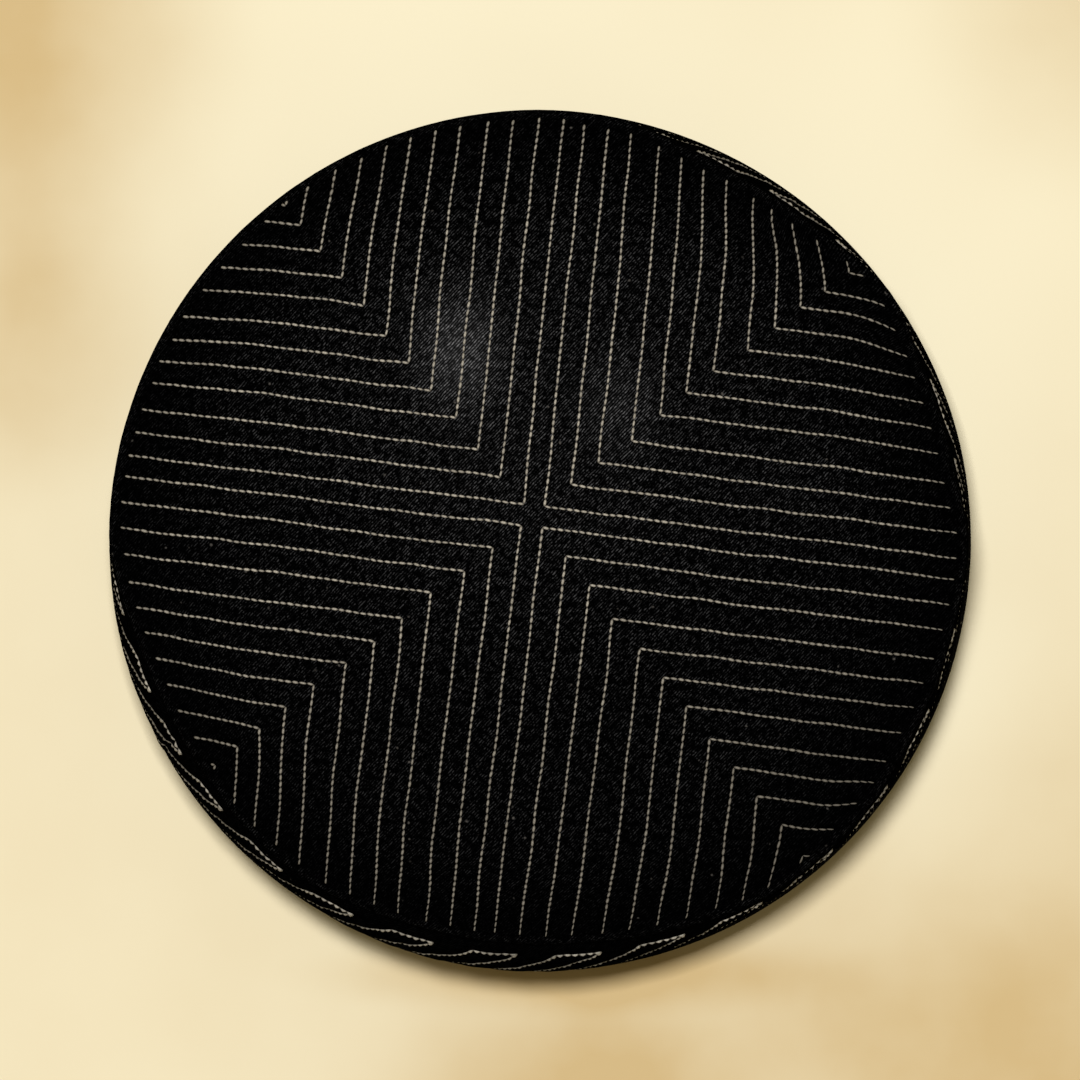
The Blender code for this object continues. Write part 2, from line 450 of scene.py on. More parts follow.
def patch_share(patches, flat):
    """Add up how strongly soft round patches cover each flat point."""
    total = np.zeros(len(flat))
    for patch in patches:
        away = np.hypot((flat[:, 0] - patch.x) / patch.wide, (flat[:, 1] - patch.y) / patch.tall)
        total += patch.strength * smooth_step(1.0 - away)
    return total


def arc(centre, across, up, start, end):
    """Give points on a quarter of an ellipse, with start and end in degrees from +X."""
    angles = np.radians(np.linspace(start, end, SECTION_POINTS))
    return np.column_stack((centre[0] + across * np.cos(angles), centre[1] + up * np.sin(angles)))


class Section:
    """A cloth's outline in the plane through the axis, read by the distance along it."""

    NORMAL_REACH = 0.0003
    SHORTEST_STEP = 1e-9

    def __init__(self, parts):
        points = np.vstack(parts)
        steps = np.linalg.norm(np.diff(points, axis=0), axis=1)
        is_step = steps > self.SHORTEST_STEP
        self.points = points[np.concatenate(([True], is_step))]
        self.along = np.concatenate(([0.0], np.cumsum(steps[is_step])))
        self.length = self.along[-1]

    def at(self, along):
        """Give the radius and height of each place."""
        return (
            np.interp(along, self.along, self.points[:, 0]),
            np.interp(along, self.along, self.points[:, 1]),
        )

    def normal(self, along):
        """Give the outward direction of each place, as its share of radius and of height."""
        radius_on, height_on = self.at(along + self.NORMAL_REACH)
        radius_back, height_back = self.at(along - self.NORMAL_REACH)
        out_radius = height_back - height_on
        out_height = radius_on - radius_back
        size = np.hypot(out_radius, out_height)
        return out_radius / size, out_height / size


def crown_section():
    """Trace the crown from the axis, out over the top, round its edge and back along the inside."""
    roll_start = SEAM_RADIUS - ROLL_WIDTH
    roll_foot = SEAM_HEIGHT + SEAM_GAP + ROLL_STRAIGHT
    edge_top = CROWN_HEIGHT - DOME_RISE
    radius = np.linspace(0.0, roll_start, SECTION_POINTS)
    dome = edge_top + DOME_RISE * (1.0 - (radius / roll_start) ** 2)
    fold_centre = SEAM_RADIUS - FOLD_ROUNDING
    inner_fold_centre = SEAM_RADIUS - CROWN_THICKNESS + FOLD_ROUNDING
    roll = (roll_start, roll_foot)
    return Section((
        np.column_stack((radius, dome)),
        arc(roll, ROLL_WIDTH, edge_top - roll_foot, 90.0, 0.0),
        arc((fold_centre, roll_foot), FOLD_ROUNDING, ROLL_STRAIGHT, 0.0, -90.0),
        arc((inner_fold_centre, roll_foot), FOLD_ROUNDING, ROLL_STRAIGHT, -90.0, -180.0),
        arc(roll, ROLL_WIDTH - CROWN_THICKNESS, edge_top - roll_foot - CROWN_THICKNESS, 0.0, 90.0),
        np.column_stack((radius, dome - CROWN_THICKNESS))[::-1],
    ))


def band_section():
    """Trace the band from the seam, down its outside, round the rim and back up its inside."""
    top_radius = SEAM_RADIUS - SEAM_TUCK
    shoulder = (top_radius, SHOULDER_HEIGHT)
    inner_shoulder = (top_radius - BAND_THICKNESS, SHOULDER_HEIGHT)
    shoulder_width = SHOULDER_RADIUS - top_radius
    shoulder_rise = SEAM_HEIGHT - SHOULDER_HEIGHT
    foot = (RIM_RADIUS - FOLD_ROUNDING, FOLD_ROUNDING)
    inner_foot = (RIM_RADIUS - BAND_THICKNESS + FOLD_ROUNDING, FOLD_ROUNDING)
    top_fold = (top_radius - BAND_THICKNESS + FOLD_ROUNDING, SEAM_HEIGHT - FOLD_ROUNDING)
    return Section((
        arc(shoulder, shoulder_width, shoulder_rise, 90.0, 0.0),
        arc(foot, FOLD_ROUNDING, FOLD_ROUNDING, 0.0, -90.0),
        arc(inner_foot, FOLD_ROUNDING, FOLD_ROUNDING, -90.0, -180.0),
        arc(inner_shoulder, shoulder_width, shoulder_rise, 0.0, INNER_SHOULDER_TURN),
        arc(top_fold, FOLD_ROUNDING, FOLD_ROUNDING, 180.0, 90.0),
        np.array([[top_radius, SEAM_HEIGHT]]),
    ))


def crown_outward(azimuth, radius, height):
    """Say how far the crown is drawn in, as a negative distance, where its edge is dented."""
    share = (radius / SEAM_RADIUS - CROWN_DENT_START) / (1.0 - CROWN_DENT_START)
    return -smooth_step(share) * sum(fold_depth(dent, azimuth) for dent in DENTS)


def crown_drag(azimuth, along):
    """Say how far the crown's cloth is pushed round, in degrees."""
    turned = np.zeros_like(azimuth)
    for drag in DRAGS:
        away = ((azimuth - drag.azimuth + 180.0) % 360.0 - 180.0) / drag.half_width
        away = np.clip(away, -1.0, 1.0)
        share = smooth_step((along / SEAM_RADIUS - drag.start) / (1.0 - drag.start))
        turned += DRAG_PEAK * away * (1.0 - away**2) ** 2 * share * drag.shift / SEAM_RADIUS
    return np.degrees(turned)


def band_outward(azimuth, radius, height):
    """Say how far the band stands out: dented by the crown's edge, and bulged under the dents."""
    rise = (height - BULGE_FOOT_HEIGHT) / (BULGE_FULL_HEIGHT - BULGE_FOOT_HEIGHT)
    fall = (SEAM_HEIGHT - height) / BULGE_FADE
    bulge = sum(fold_depth(bulge, azimuth) for bulge in BULGES)
    dent = sum(fold_depth(dent, azimuth) * wall_share(dent, height) for dent in DENTS)
    return bulge * smooth_step(rise) * smooth_step(fall) - dent


class Cloth:
    """A padded cloth sewn along its rows, and how it lies on the cap."""

    GROOVE_SHARPNESS = 2.2
    CREASE_WIDTH = 0.00022
    PUCKER_HEIGHT = 0.00007
    PUCKER_LENGTHS = (0.011, 0.0023)
    PUCKER_EVERYWHERE = 0.35

    def __init__(self, section, outward, sewn, groove_depth):
        self.section = section
        self.outward = outward
        self.groove_depth = groove_depth
        self.tree = kdtree.KDTree(len(sewn))
        for index, (x, y) in enumerate(sewn):
            self.tree.insert((x, y, 0.0), index)
        self.tree.balance()

    def from_row(self, flat):
        """Give each flat point's distance from the nearest sewn row, as a share of its reach."""
        find = self.tree.find
        away = np.array([find((x, y, 0.0))[2] for x, y in flat])
        away = np.hypot(away, self.CREASE_WIDTH) - self.CREASE_WIDTH
        return np.clip(away / self.ROW_REACH, 0.0, 1.0)

    def relief(self, flat):
        """Give the padded cloth's height: about 0 between the rows, and below it near them."""
        share = 1.0 - self.from_row(flat)
        pucker = waves(flat, *self.PUCKER_LENGTHS, self.PUCKER_SEED) * self.PUCKER_HEIGHT
        groove = self.groove_depth * share**self.GROOVE_SHARPNESS
        return pucker * (self.PUCKER_EVERYWHERE + share) - groove

    def put(self, azimuth, along, lift):
        """Give the place in space of points at an azimuth and a distance along the section."""
        radius, height = self.section.at(along)
        out_radius, out_height = self.section.normal(along)
        radius = radius + out_radius * lift
        height = height + out_height * lift
        radius = radius + self.outward(azimuth, radius, height)
        turn = np.radians(azimuth)
        return np.column_stack((radius * np.cos(turn), radius * np.sin(turn), height))


class CrownCloth(Cloth):
    """The crown, whose flat panel is a disc."""

    ROW_REACH = 0.0025
    POINT_STEP = 0.00018
    PUCKER_SEED = 21
    SWELL = 0.00022
    SWELL_FADE = 0.020
    SWELL_LENGTHS = (0.070, 0.022)
    SWELL_SEED = 41
    THINNING = 0.38
    THIN_START = 0.0785
    THIN_FADE = 0.0075
    THIN_SLOPE = 0.8
    THIN_WIDTH = 0.12
    # Painted light of the crown's thread: lightest in the middle, painted shade towards its sides
    # and edge
    MOST_LIT_TONE = 0.95
    MOST_SHADED_TONE = 0.2
    LIT_AT_EDGE = 0.55
    LIT_FADE = 0.02

    def relief(self, flat):
        """Add the broad unevenness of a soft panel to the padding."""
        inward = (SEAM_RADIUS - np.hypot(flat[:, 0], flat[:, 1])) / self.SWELL_FADE
        swell = waves(flat, *self.SWELL_LENGTHS, self.SWELL_SEED) * self.SWELL
        return super().relief(flat) + swell * smooth_step(inward)

    def place(self, flat, lift, inside=False):
        """Lay flat points on the crown's top, or under it."""
        azimuth = np.degrees(np.arctan2(flat[:, 1], flat[:, 0]))
        along = np.hypot(flat[:, 0], flat[:, 1])
        azimuth = azimuth + crown_drag(azimuth, along)
        if inside:
            along = self.section.length - along
        return self.put(azimuth, along, lift)

    def thread_width(self, flat):
        """Pull the thread thin where the rows end to the right and below."""
        x, y = flat[:, 0], flat[:, 1]
        outer = smooth_step((np.hypot(x, y) - self.THIN_START) / self.THIN_FADE)
        side = smooth_step(0.5 + (x - self.THIN_SLOPE * y) / self.THIN_WIDTH)
        return 1.0 - self.THINNING * outer * side

    def painted_light_tone(self, flat):
        """Give the thread's painted light: lightest in the middle, with painted shade to the right,
        below, a little at the top and near the edge.
        """
        x, y = flat[:, 0], flat[:, 1]
        share = self.MOST_LIT_TONE
        for thread_shade in THREAD_PAINTED_SHADE:
            out = (thread_shade.right * x + thread_shade.up * y - thread_shade.start) / thread_shade.width
            share = share - thread_shade.strength * smooth_step(out)
        inward = smooth_step((SEAM_RADIUS - np.hypot(x, y)) / self.LIT_FADE)
        inward = self.LIT_AT_EDGE + (1.0 - self.LIT_AT_EDGE) * inward
        return np.maximum(share, self.MOST_SHADED_TONE) * inward


class BandCloth(Cloth):
    """The band, whose flat panel is a strip. It runs clockwise round the cap."""

    RADIUS = 0.5 * (RIM_RADIUS + SHOULDER_RADIUS)
    LENGTH = FULL_TURN * RADIUS
    ROW_REACH = 0.0031
    POINT_STEP = 0.0002
    PUCKER_SEED = 22
    GROOVE_SHARE = 1.25
    CREASE = 0.0003
    JOIN_CREASE_WIDTH = 0.0009
    OVERLAP_STEP = 0.001
    OVERLAP_WIDTH = 0.006
    OVERLAP_HEIGHT = 0.0003
    RUNS_DEPTH = 0.0056
    THICKEST = 1.45
    THICK_LOSS = 0.53
    THICK_FADE = 0.0022
    # Painted shade on the band's thread below its top runs
    MOST_LIT_TONE = 0.84
    SHADED_LOSS = 0.52
    LIT_FADE = 0.0050
    TONE_MIDDLE = 0.85
    TONE_SWING = 0.25
    TONE_LENGTHS = (0.05, 0.006)
    TONE_SEED = 61

    def degrees(self, distance):
        """Turn a distance along the strip into degrees round the cap."""
        return np.degrees(distance / self.RADIUS)

    def distance(self, degrees):
        """Turn degrees round the cap into a distance along the strip."""
        return np.radians(degrees) * self.RADIUS

    def on_strip(self, flat):
        """Bring flat points that lie past an end of the strip back onto it."""
        start = self.distance(-JOIN_AZIMUTH)
        return np.column_stack((start + (flat[:, 0] - start) % self.LENGTH, flat[:, 1]))

    def relief(self, flat):
        """Add the upright join, where one end of the strip lies over the other, to the padding."""
        flat = self.on_strip(flat)
        past_join = (self.degrees(flat[:, 0]) + JOIN_AZIMUTH + 180.0) % 360.0 - 180.0
        past_join = self.distance(past_join)
        crease = self.CREASE * np.exp(-((past_join / self.JOIN_CREASE_WIDTH) ** 2))
        over = smooth_step(past_join / self.OVERLAP_STEP)
        over = over * smooth_step(1.0 - past_join / self.OVERLAP_WIDTH)
        return super().relief(flat) + over * self.OVERLAP_HEIGHT - crease

    def place(self, flat, lift):
        """Lay flat points on the band's outside. The second number is the distance from the seam."""
        return self.put(-self.degrees(flat[:, 0]), flat[:, 1], lift)

    def thread_width(self, flat):
        """Make the runs beside the seam thick, as they are sewn twice."""
        below_runs = smooth_step((flat[:, 1] - self.RUNS_DEPTH) / self.THICK_FADE)
        return self.THICKEST - self.THICK_LOSS * below_runs

    def painted_light_tone(self, flat):
        """Give the thread's painted light: lightest in the runs beside the seam and in painted shade
        further down, with a tone that differs unevenly.
        """
        below_runs = smooth_step((flat[:, 1] - self.RUNS_DEPTH) / self.LIT_FADE)
        uneven = waves(flat, *self.TONE_LENGTHS, self.TONE_SEED)
        share = self.MOST_LIT_TONE - self.SHADED_LOSS * below_runs
        return share * (self.TONE_MIDDLE + self.TONE_SWING * uneven)


def row_offset(rows, first_row, number):
    """Give the distance of a row from the pattern's middle. Numbers between rows are allowed."""
    if number < 0.0:
        return first_row * (1.0 + number)
    wide = sum(float(smooth_step(number - after)) for after in rows.wide_after)
    closer = rows.closer * float(smooth_step(number - CLOSER_AFTER))
    return first_row + rows.spacing * number + rows.widening * wide - closer


def right_angle(quarter, first_row, number):
    """Give one right angle of the crown's pattern: its corner and the headings of its arms."""
    upright_lean = math.radians(UPRIGHT_LEAN[quarter.rise])
    level_lean = math.radians(LEVEL_LEAN)
    facing = np.array([
        [math.cos(upright_lean), -math.sin(upright_lean)],
        [math.sin(level_lean), math.cos(level_lean)],
    ])
    offsets = np.array([
        quarter.side * row_offset(quarter.upright, first_row, number),
        quarter.rise * row_offset(quarter.level, first_row, number),
    ])
    corner = PATTERN_CENTRE + np.linalg.solve(facing, offsets)
    upright = quarter.rise * np.array([math.sin(upright_lean), math.cos(upright_lean)])
    level = quarter.side * np.array([math.cos(level_lean), -math.sin(level_lean)])
    return corner, upright, level


def arm_length(corner, heading, limit):
    """Give how far an arm goes from its corner before it is limit away from the axis."""
    ahead = float(corner @ heading)
    room = limit * limit - float(corner @ corner)
    return -ahead + math.sqrt(max(ahead * ahead + room, 0.0)) if room > 0.0 else 0.0


def wander(flat, seed):
    """Shift flat points a little, as a hand-guided row strays from its line."""
    shift = np.column_stack([waves(flat, *WANDER_LENGTHS, seed + axis) for axis in (0, 1)])
    return flat + shift * WANDER


def crown_rows(quilting):
    """Give the crown's sewn rows as lists of flat points, one straight arm at a time."""
    random = np.random.default_rng(quilting.seed)
    rows = []
    for quarter in QUARTERS:
        for number in range(ROW_COUNT):
            corner, upright, level = right_angle(quarter, quilting.first_row, number)
            start = corner * min(1.0, quarter.last_reach / math.hypot(*corner))
            late = quarter.longer_level * float(smooth_step((number - LATE_ROW) / LATE_SPAN))
            for heading, longer in ((upright, quarter.longer), (level, late)):
                reach = quilting.row_reach + longer + random.uniform(*ROW_END_STRAY)
                length = arm_length(start, heading, reach)
                if number == ROW_COUNT - 1:
                    length = quarter.last_arm
                rows.append((start, heading, length))
    return rows


def row_points(rows, spacing, seed):
    """Give points along the sewn rows, close enough together to measure from."""
    parts = []
    for corner, heading, length in rows:
        steps = np.arange(0.0, length, spacing)
        parts.append(corner + steps[:, None] * heading)
    return wander(np.vstack(parts), seed)


def crown_cloth(quilting):
    """Set up the crown's cloth with its sewn rows."""
    sewn = row_points(crown_rows(quilting), CrownCloth.POINT_STEP, quilting.seed)
    return CrownCloth(crown_section(), crown_outward, sewn, quilting.groove_depth)


def pattern_points(quilting, side):
    """Give flat mesh points on and between the crown's rows, so that its faces follow them."""
    reach = side.reach - side.margin
    numbers = [-share for share in side.shares[1:]]
    numbers += [row + share for row in range(ROW_COUNT + ROWS_PAST_LAST) for share in side.shares]
    parts = []
    for quarter in QUARTERS:
        for number in numbers:
            corner, upright, level = right_angle(quarter, quilting.first_row, number)
            parts.append(corner[None, :])
            for heading in (upright, level):
                steps = np.arange(side.step, arm_length(corner, heading, reach), side.step)
                parts.append(corner + steps[:, None] * heading)
    points = wander(np.vstack(parts), quilting.seed)
    return points[np.hypot(points[:, 0], points[:, 1]) < reach]


def ring_headings():
    """Give the directions from the axis of a ring's points."""
    turn = np.linspace(0.0, FULL_TURN, RING_POINTS, endpoint=False)
    return np.column_stack((np.cos(turn), np.sin(turn)))


def disc(quilting, side):
    """Join the points of one side of the crown. Returns the points, ring last, and triangles."""
    points = pattern_points(quilting, side)
    every = np.vstack((points, side.reach * ring_headings()))
    first = len(points)
    edges = [(first + i, first + (i + 1) % RING_POINTS) for i in range(RING_POINTS)]
    coordinates = [Vector(point) for point in every * JOIN_SCALE]
    found = geometry.delaunay_2d_cdt(coordinates, edges, [], JOIN_INSIDE, JOIN_TOLERANCE)
    if len(found[0]) != len(every):
        raise RuntimeError("two points of the crown's mesh are at the same place")
    return every, np.array(found[2])


def ring_faces(rows, columns, first=0):
    """Give the faces between rows of points that each go right round."""
    row, column = np.meshgrid(np.arange(rows - 1), np.arange(columns), indexing="ij")
    following = (column + 1) % columns
    corners = (row * columns + column, (row + 1) * columns + column,
               (row + 1) * columns + following, row * columns + following)
    return first + np.stack(corners, axis=-1).reshape(-1, 4)


def make_piece(name, points, faces, material):
    """Make a smooth mesh object that goes with the cap."""
    mesh = bpy.data.meshes.new(name)
    mesh.from_pydata(points.tolist(), [], faces)
    mesh.materials.append(material)
    mesh.shade_smooth()
    piece = bpy.data.objects.new(name, mesh)
    bpy.context.scene.collection.objects.link(piece)
    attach(piece, "root")
    return piece


def add_point_values(piece, name, values):
    """Give each point of a piece a value that its material reads."""
    layer = piece.data.attributes.new(name, "FLOAT", "POINT")
    layer.data.foreach_set("value", values.astype(np.float32))


def add_corner_map(piece, name, corner_values):
    """Add a UV map from one pair of numbers for each corner of each face."""
    layer = piece.data.uv_layers.new(name=name)
    layer.data.foreach_set("uv", corner_values.astype(np.float32).ravel())


def corner_points(faces):
    """Give the point number of each corner of each face, in order."""
    return np.array([point for face in faces for point in face])


def edge_rings(section):
    """Give where the rings between the crown's two discs lie along its section."""
    last = section.length - CROWN_UNDER.reach
    count = len(np.arange(CROWN_TOP.reach, last, EDGE_STEP)) + 1
    return np.linspace(CROWN_TOP.reach, last, count)[1:-1]


def crown_faces(top_count, top_faces, ring_count, under_count, under_faces):
    """Join the crown's top, the rings of its edge and its underside."""
    top_ring = top_count - RING_POINTS
    faces = top_faces.tolist() + ring_faces(ring_count + 1, RING_POINTS, top_ring).tolist()
    last_ring = top_ring + ring_count * RING_POINTS
    under_start = last_ring + RING_POINTS
    under_ring = under_start + under_count - RING_POINTS
    for column in range(RING_POINTS):
        following = (column + 1) % RING_POINTS
        faces.append([last_ring + column, under_ring + column,
                      under_ring + following, last_ring + following])
    return faces + (under_faces[:, ::-1] + under_start).tolist()


def build_crown(quilting, material):
    """Build the quilted crown: its top, its turned edge and its underside, closed all round."""
    cloth = crown_cloth(quilting)
    length = cloth.section.length
    top, top_faces = disc(quilting, CROWN_TOP)
    under, under_faces = disc(quilting, CROWN_UNDER)
    heading = ring_headings()
    flats, insides = [top], [False]
    for along in edge_rings(cloth.section):
        is_inside = along > 0.5 * length + INSIDE_START
        flats.append(heading * (length - along if is_inside else along))
        insides.append(is_inside)
    flats.append(under)
    insides.append(True)
    points = np.vstack([cloth.place(flat, cloth.relief(flat), is_inside)
                        for flat, is_inside in zip(flats, insides)])
    faces = crown_faces(len(top), top_faces, len(flats) - 2, len(under), under_faces)
    piece = make_piece("crown_cloth", points, faces, material)
    flat = np.vstack(flats)
    add_corner_map(piece, "cloth", flat[corner_points(faces)])
    # The weave's grey: wear, with painted highlights and painted shade
    add_point_values(piece, "wear_and_painted_light", crown_wear_and_painted_light(flat))
    add_crown_bake_map(piece, faces, flat, len(flat) - len(under))
    return piece


def crown_wear_and_painted_light(flat):
    """Say how grey the crown is at each flat point: evenly grey with wear, with painted highlights
    in patches and along the seam's ridge, and painted shade towards the bottom and at the edge.
    """
    inward = (PAINTED_SHADE_EDGE - np.hypot(flat[:, 0], flat[:, 1])) / PAINTED_SHADE_EDGE_FADE
    lower = smooth_step(0.5 - flat[:, 1] / PAINTED_SHADE_BELOW_WIDTH)
    share = RUBBED_EVENLY * (1.0 - PAINTED_SHADE_BELOW * lower) + patch_share(PAINTED_HIGHLIGHT_PATCHES, flat)
    from_ridge = (np.hypot(flat[:, 0], flat[:, 1]) - RIDGE_RADIUS) / RIDGE_WIDTH
    ridge_highlight = RIDGE_HIGHLIGHT * np.exp(-(from_ridge**2))
    return share * (PAINTED_SHADE_EDGE_SHARE + (1.0 - PAINTED_SHADE_EDGE_SHARE) * smooth_step(inward)) + ridge_highlight


def add_crown_bake_map(piece, faces, flat, under_start):
    """Map the crown's two sides to two discs that don't overlap, for baking."""
    values = []
    for face in faces:
        place = UNDER_BAKE if max(face) >= under_start else TOP_BAKE
        for point in face:
            values.append(place.middle + flat[point] / BAKE_REACH * place.size)
    add_corner_map(piece, "OFBake", np.array(values))


class PRAYERCAP_OT_crown(bpy.types.Operator):
    """Build the quilted crown in place of the plain one"""

    bl_idname = "prayer_cap.crown"
    bl_label = "Crown"

    def execute(self, context):
        scene = context.scene
        material = cloth_material("crown_twill", scene.cap_cloth, CROWN_EVENNESS)
        piece = build_crown(scene.cap_quilting, material)
        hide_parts("crown")
        return {"FINISHED"}


def run_start(number):
    """Give where a run starts, in degrees clockwise from +X."""
    return np.interp(number, [mark.number for mark in RUN_MARKS], [mark.start for mark in RUN_MARKS])


def run_end(number):
    """Give where a run ends, in degrees clockwise from +X."""
    start = run_start(number)
    return start + RUN_SHARE * (run_start(number + 1) - start)


def band_path(quilting):
    """Give the corners of the band's one long row, as flat points in order round the cap."""
    radius = BandCloth.RADIUS
    top, bottom = quilting.band_top_row, quilting.band_bottom_row
    shift = (bottom - top) * quilting.band_slant
    corners = []
    for number in range(RUN_COUNT):
        start = math.radians(run_start(number)) * radius
        end = math.radians(run_end(number)) * radius
        corners += [(start + shift, bottom), (start, top), (end, top), (end + shift, bottom)]
    corners.append((corners[0][0] + BandCloth.LENGTH, bottom))
    return np.array(corners)


def path_arms(corners):
    """Split a path into straight arms, each with its start, heading and length."""
    steps = np.diff(corners, axis=0)
    lengths = np.linalg.norm(steps, axis=1)
    return [(start, step / length, length) for start, step, length in zip(corners, steps, lengths)]


def hem_arm(quilting):
    """Give the hem's row: its start, heading and length."""
    start = np.array([0.0, quilting.hem_row])
    return start, np.array([1.0, 0.0]), BandCloth.LENGTH


def band_cloth(quilting):
    """Set up the band's cloth with its sewn rows, repeated a little past both ends."""
    arms = path_arms(band_path(quilting)) + [hem_arm(quilting)]
    sewn = row_points(arms, BandCloth.POINT_STEP, quilting.seed)
    whole_turn = np.array([BandCloth.LENGTH, 0.0])
    strip = np.vstack([sewn + turns * whole_turn for turns in (-2, -1, 0, 1)])
    first = math.radians(-JOIN_AZIMUTH) * BandCloth.RADIUS
    near = strip[:, 0] > first - STRIP_MARGIN
    near &= strip[:, 0] < first + BandCloth.LENGTH + STRIP_MARGIN
    return BandCloth(band_section(), band_outward, strip[near],
                     quilting.groove_depth * BandCloth.GROOVE_SHARE)


def band_rings(quilting, section, rim):
    """Give where the band's rings lie along its section: down its outside and up its inside."""
    top, bottom = quilting.band_top_row, quilting.band_bottom_row
    return np.concatenate((
        np.linspace(0.0, top, BAND_RINGS.above, endpoint=False),
        np.linspace(top, bottom, BAND_RINGS.between, endpoint=False),
        np.linspace(bottom, rim, BAND_RINGS.below),
        np.linspace(rim, section.length, BAND_RINGS.inside)[1:-1],
    ))


def band_columns(cloth):
    """Give where the columns of faces cross the upper row, as distances along the strip."""
    columns = []
    for number in range(RUN_COUNT):
        ends = (run_start(number), run_end(number), run_start(number + 1))
        for start, end in zip(ends, ends[1:]):
            columns += [start + share * (end - start) for share in BAND_SHARES]
    return cloth.distance(np.array(columns))


def band_lift(cloth, flat, along, rim):
    """Give the band's relief, which is weaker inside and fades at the inner seam and the foot."""
    seam_fade = smooth_step((cloth.section.length - along) / SEAM_FADE)
    lift = cloth.relief(flat) * np.where(along > rim, INSIDE_RELIEF * seam_fade, 1.0)
    return lift * smooth_step(np.abs(along - rim) / FOOT_FADE)


def build_band(quilting, material):
    """Build the quilted band, with columns of faces that slant as its rows do."""
    cloth = band_cloth(quilting)
    section = cloth.section
    height = section.at(section.along)[1]
    lowest = int(np.argmin(height))
    rim = section.along[lowest]
    rings = band_rings(quilting, section, rim)
    columns = band_columns(cloth)
    depth = np.interp(section.at(rings)[1], height[lowest::-1], section.along[lowest::-1])
    slide = (depth - quilting.band_top_row) * quilting.band_slant
    across = columns[None, :] + slide[:, None]
    along = np.repeat(rings, len(columns))
    flat = cloth.on_strip(np.column_stack((across.ravel(), np.repeat(depth, len(columns)))))
    points = cloth.put(-cloth.degrees(flat[:, 0]), along, band_lift(cloth, flat, along, rim))
    faces = ring_faces(len(rings) + 1, len(columns))
    faces = np.where(faces >= len(points), faces - len(points), faces)[:, ::-1]
    piece = make_piece("band_cloth", points, faces.tolist(), material)
    add_band_maps(piece, section, rings, columns, slide)
    # The weave's grey: wear, with painted shade beside the seam
    add_point_values(piece, "wear_and_painted_light", band_wear_and_painted_shade(flat))
    return piece


def add_band_maps(piece, section, rings, columns, slide):
    """Map the band for its weave, and in blocks of columns one above the other for baking."""
    ring, column = np.meshgrid(np.arange(len(rings)), np.arange(len(columns)), indexing="ij")
    rings_on = np.append(rings, section.length)
    slide_on = np.append(slide, slide[0])
    columns_on = np.append(columns, columns[0] + BandCloth.LENGTH)
    block_width = len(columns) // BAKE_BLOCKS
    block = column // block_width
    cloth_map, bake_map = [], []
    for down, on in ((0, 1), (1, 1), (1, 0), (0, 0)):
        across, along = columns_on[column + on] + slide_on[ring + down], rings_on[ring + down]
        cloth_map.append(np.stack((across, along), axis=-1))
        in_block = (column + on - block * block_width) / block_width
        u = in_block * (1.0 - 2.0 * BLOCK_MARGIN_ACROSS) + BLOCK_MARGIN_ACROSS
        up_block = (1.0 - 2.0 * BLOCK_MARGIN_UP) * along / section.length
        v = (block + BLOCK_MARGIN_UP + up_block) / BAKE_BLOCKS
        bake_map.append(np.stack((u, v), axis=-1))
    add_corner_map(piece, "cloth", np.stack(cloth_map, axis=2).reshape(-1, 2))
    add_corner_map(piece, "OFBake", np.stack(bake_map, axis=2).reshape(-1, 2))


def band_wear_and_painted_shade(flat):
    """Say how grey the band's weave is at each flat point: nearly black beside the seam as painted
    shade, and greyer with wear further down, unevenly.
    """
    lower = smooth_step((flat[:, 1] - BAND_RUBBED_START) / BAND_RUBBED_FADE)
    uneven = 1.0 + BAND_RUBBED_SWING * waves(flat, *BAND_RUBBED_LENGTHS, BAND_RUBBED_SEED)
    return (BAND_PAINTED_SHADE_AT_SEAM + BAND_RUBBED_MORE * lower) * uneven


class PRAYERCAP_OT_band(bpy.types.Operator):
    """Build the quilted side band in place of the plain one"""

    bl_idname = "prayer_cap.band"
    bl_label = "Side band"

    def execute(self, context):
        scene = context.scene
        material = cloth_material("band_twill", scene.cap_cloth, BAND_EVENNESS)
        piece = build_band(scene.cap_quilting, material)
        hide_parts("side_band")
        return {"FINISHED"}


def needle_holes(arms, pitch, row_seed, seed):
    """Give the stitches' two ends, as flat points, for each arm."""
    random = np.random.default_rng(seed)
    starts, ends = [], []
    for corner, heading, length in arms:
        count = max(1, round(length / pitch))
        along = np.linspace(0.0, length, count + 1)
        along[1:-1] += random.uniform(-HOLE_STRAY_ALONG, HOLE_STRAY_ALONG, count - 1) * pitch
        side = np.array([-heading[1], heading[0]])
        off = random.normal(0.0, HOLE_STRAY_ASIDE, count + 1)
        holes = wander(corner + along[:, None] * heading + off[:, None] * side, row_seed)
        starts.append(holes[:-1])
        ends.append(holes[1:])
    return np.vstack(starts), np.vstack(ends)


def unit(vectors):
    """Give vectors the length 1."""
    return vectors / np.linalg.norm(vectors, axis=-1, keepdims=True)


def place_rings(cloth, starts, ends, rings, radius):
    """Place the middles of every stitch's rings. Returns them, the ways up and the ways aside."""
    placed, above = [], []
    for ring in rings:
        flat = starts + (ends - starts) * ring.along
        lift = cloth.relief(flat) + ring.rise * radius
        placed.append(cloth.place(flat, lift))
        above.append(cloth.place(flat, lift + UP_REACH))
    placed, above = np.stack(placed), np.stack(above)
    normal = unit(above - placed)
    forward = unit(placed[-1] - placed[0])
    return placed, normal, unit(np.cross(normal, forward[None, :, :]))


